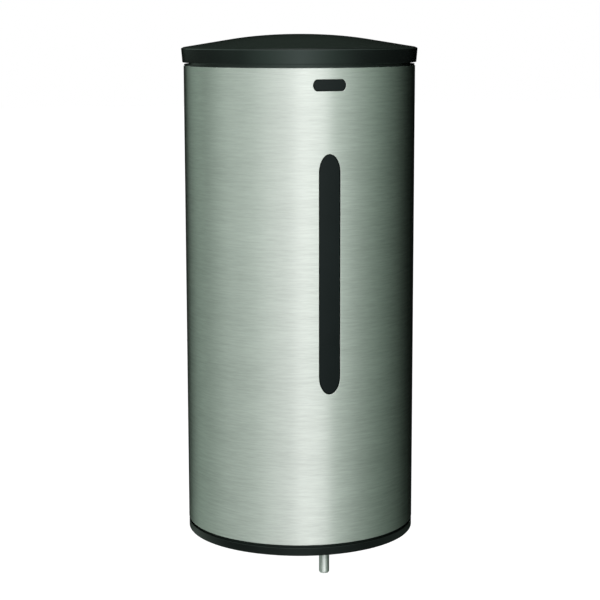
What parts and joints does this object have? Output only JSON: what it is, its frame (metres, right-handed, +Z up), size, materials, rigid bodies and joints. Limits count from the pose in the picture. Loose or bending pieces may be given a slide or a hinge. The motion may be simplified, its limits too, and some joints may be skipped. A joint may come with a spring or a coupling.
{
  "type": "automatic soap dispenser",
  "caption": "Wall-mounted cylindrical automatic soap dispenser with a brushed steel wrap, black hinged lid, sight window and steel spout.",
  "frame": {"origin": "middle of the wall plate's back, in the wall plane, half-way up the steel wrap", "axes": "+Z up, +Y into the wall, the front of the dispenser faces -Y"},
  "size_m": [0.1204, 0.1062, 0.2695],
  "materials": {
    "brushed_steel": "horizontally brushed",
    "plain_steel": "plain",
    "black_plastic": "fine satin",
    "grey_plastic": "satin",
    "white_plastic": "satin",
    "smoked_plastic": "gloss",
    "clear_plastic": "translucent",
    "silicone": "translucent",
    "rubber": "matte",
    "brass": "satin",
    "circuit_board": "solder mask",
    "cell_jacket": "printed jacket, plain",
    "motor_can": "plated",
    "lead_jacket": "satin"
  },
  "bodies": {
    "chassis": {"wall_plate": "plain_steel", "back_panel": "black_plastic", "plate_screw": "plain_steel", "base_screw_left": "plain_steel", "base_screw_right": "plain_steel", "steel_shell": "brushed_steel", "sight_window": "smoked_plastic", "indicator_window": "smoked_plastic", "top_frame": "black_plastic", "hinge_pin": "plain_steel", "lock_body": "plain_steel", "lock_nut": "plain_steel", "reservoir": "clear_plastic", "outlet_fitting": "white_plastic", "outlet_gasket": "rubber", "battery_box": "black_plastic", "battery_1": "cell_jacket", "battery_2": "cell_jacket", "battery_3": "cell_jacket", "battery_4": "cell_jacket", "battery_contact_upper": "brass", "battery_contact_lower": "brass", "battery_cover": "grey_plastic", "switch_body": "black_plastic", "control_board": "circuit_board", "controller_chip": "black_plastic", "upper_connector": "white_plastic", "lower_connector": "white_plastic", "indicator_board": "circuit_board", "indicator_led": "clear_plastic", "base_cover": "black_plastic", "sensor_window": "smoked_plastic", "sensor_board": "circuit_board", "ir_emitter": "smoked_plastic", "ir_receiver": "black_plastic", "nozzle": "brushed_steel", "nozzle_nut": "plain_steel", "pump_housing": "grey_plastic", "pump_cover": "clear_plastic", "gearbox_cover": "grey_plastic", "motor": "motor_can", "pump_tube": "silicone", "indicator_lead": "lead_jacket", "switch_lead": "lead_jacket", "battery_lead": "lead_jacket", "motor_lead": "lead_jacket", "sensor_lead": "lead_jacket"},
    "lid": {"lid": "black_plastic", "lid_seal": "rubber", "lid_strike": "plain_steel"},
    "lock": {"lock_plug": "brass", "lock_cam": "plain_steel"},
    "power_switch": {"switch_knob": "white_plastic"},
    "rotor": {"pump_rotor": "white_plastic", "rotor_gear": "white_plastic"},
    "roller_1": {"pump_roller_1": "grey_plastic"},
    "roller_2": {"pump_roller_2": "grey_plastic"},
    "roller_3": {"pump_roller_3": "grey_plastic"},
    "idler": {"idler_gear": "white_plastic"},
    "motor_shaft": {"motor_pinion": "brass"}
  },
  "joints": [
    {"name": "lid_hinge", "type": "hinge", "parent": "chassis", "child": "lid", "pos_m": [0, -0.007, 0.1246], "axis": [-1, 0, 0], "range_deg": [0, 80]},
    {"name": "lock_turn", "type": "hinge", "parent": "chassis", "child": "lock", "pos_m": [0.05, -0.046, 0.101], "axis": [1, 0, 0], "range_deg": [0, 90]},
    {"name": "switch_slide", "type": "slide", "parent": "chassis", "child": "power_switch", "axis": [1, 0, 0], "range_m": [0, 0.004]},
    {"name": "rotor_spin", "type": "hinge", "parent": "chassis", "child": "rotor", "pos_m": [0, -0.062, -0.084], "axis": [1, 0, 0], "continuous": true},
    {"name": "roller_1_spin", "type": "hinge", "parent": "rotor", "child": "roller_1", "pos_m": [0, -0.062, -0.0763], "axis": [1, 0, 0], "continuous": true},
    {"name": "roller_2_spin", "type": "hinge", "parent": "rotor", "child": "roller_2", "pos_m": [0, -0.06867, -0.08785], "axis": [1, 0, 0], "continuous": true},
    {"name": "roller_3_spin", "type": "hinge", "parent": "rotor", "child": "roller_3", "pos_m": [0, -0.05533, -0.08785], "axis": [1, 0, 0], "continuous": true},
    {"name": "idler_spin", "type": "hinge", "parent": "chassis", "child": "idler", "pos_m": [0, -0.04537, -0.0744], "axis": [1, 0, 0], "continuous": true},
    {"name": "motor_spin", "type": "hinge", "parent": "chassis", "child": "motor_shaft", "pos_m": [0, -0.03577, -0.09103], "axis": [1, 0, 0], "continuous": true}
  ],
  "couplings": [
    {"joint": "roller_1_spin", "follows": "rotor_spin", "ratio": -3.2},
    {"joint": "roller_2_spin", "follows": "rotor_spin", "ratio": -3.2},
    {"joint": "roller_3_spin", "follows": "rotor_spin", "ratio": -3.2},
    {"joint": "idler_spin", "follows": "rotor_spin", "ratio": -3},
    {"joint": "motor_spin", "follows": "rotor_spin", "ratio": 9}
  ]
}
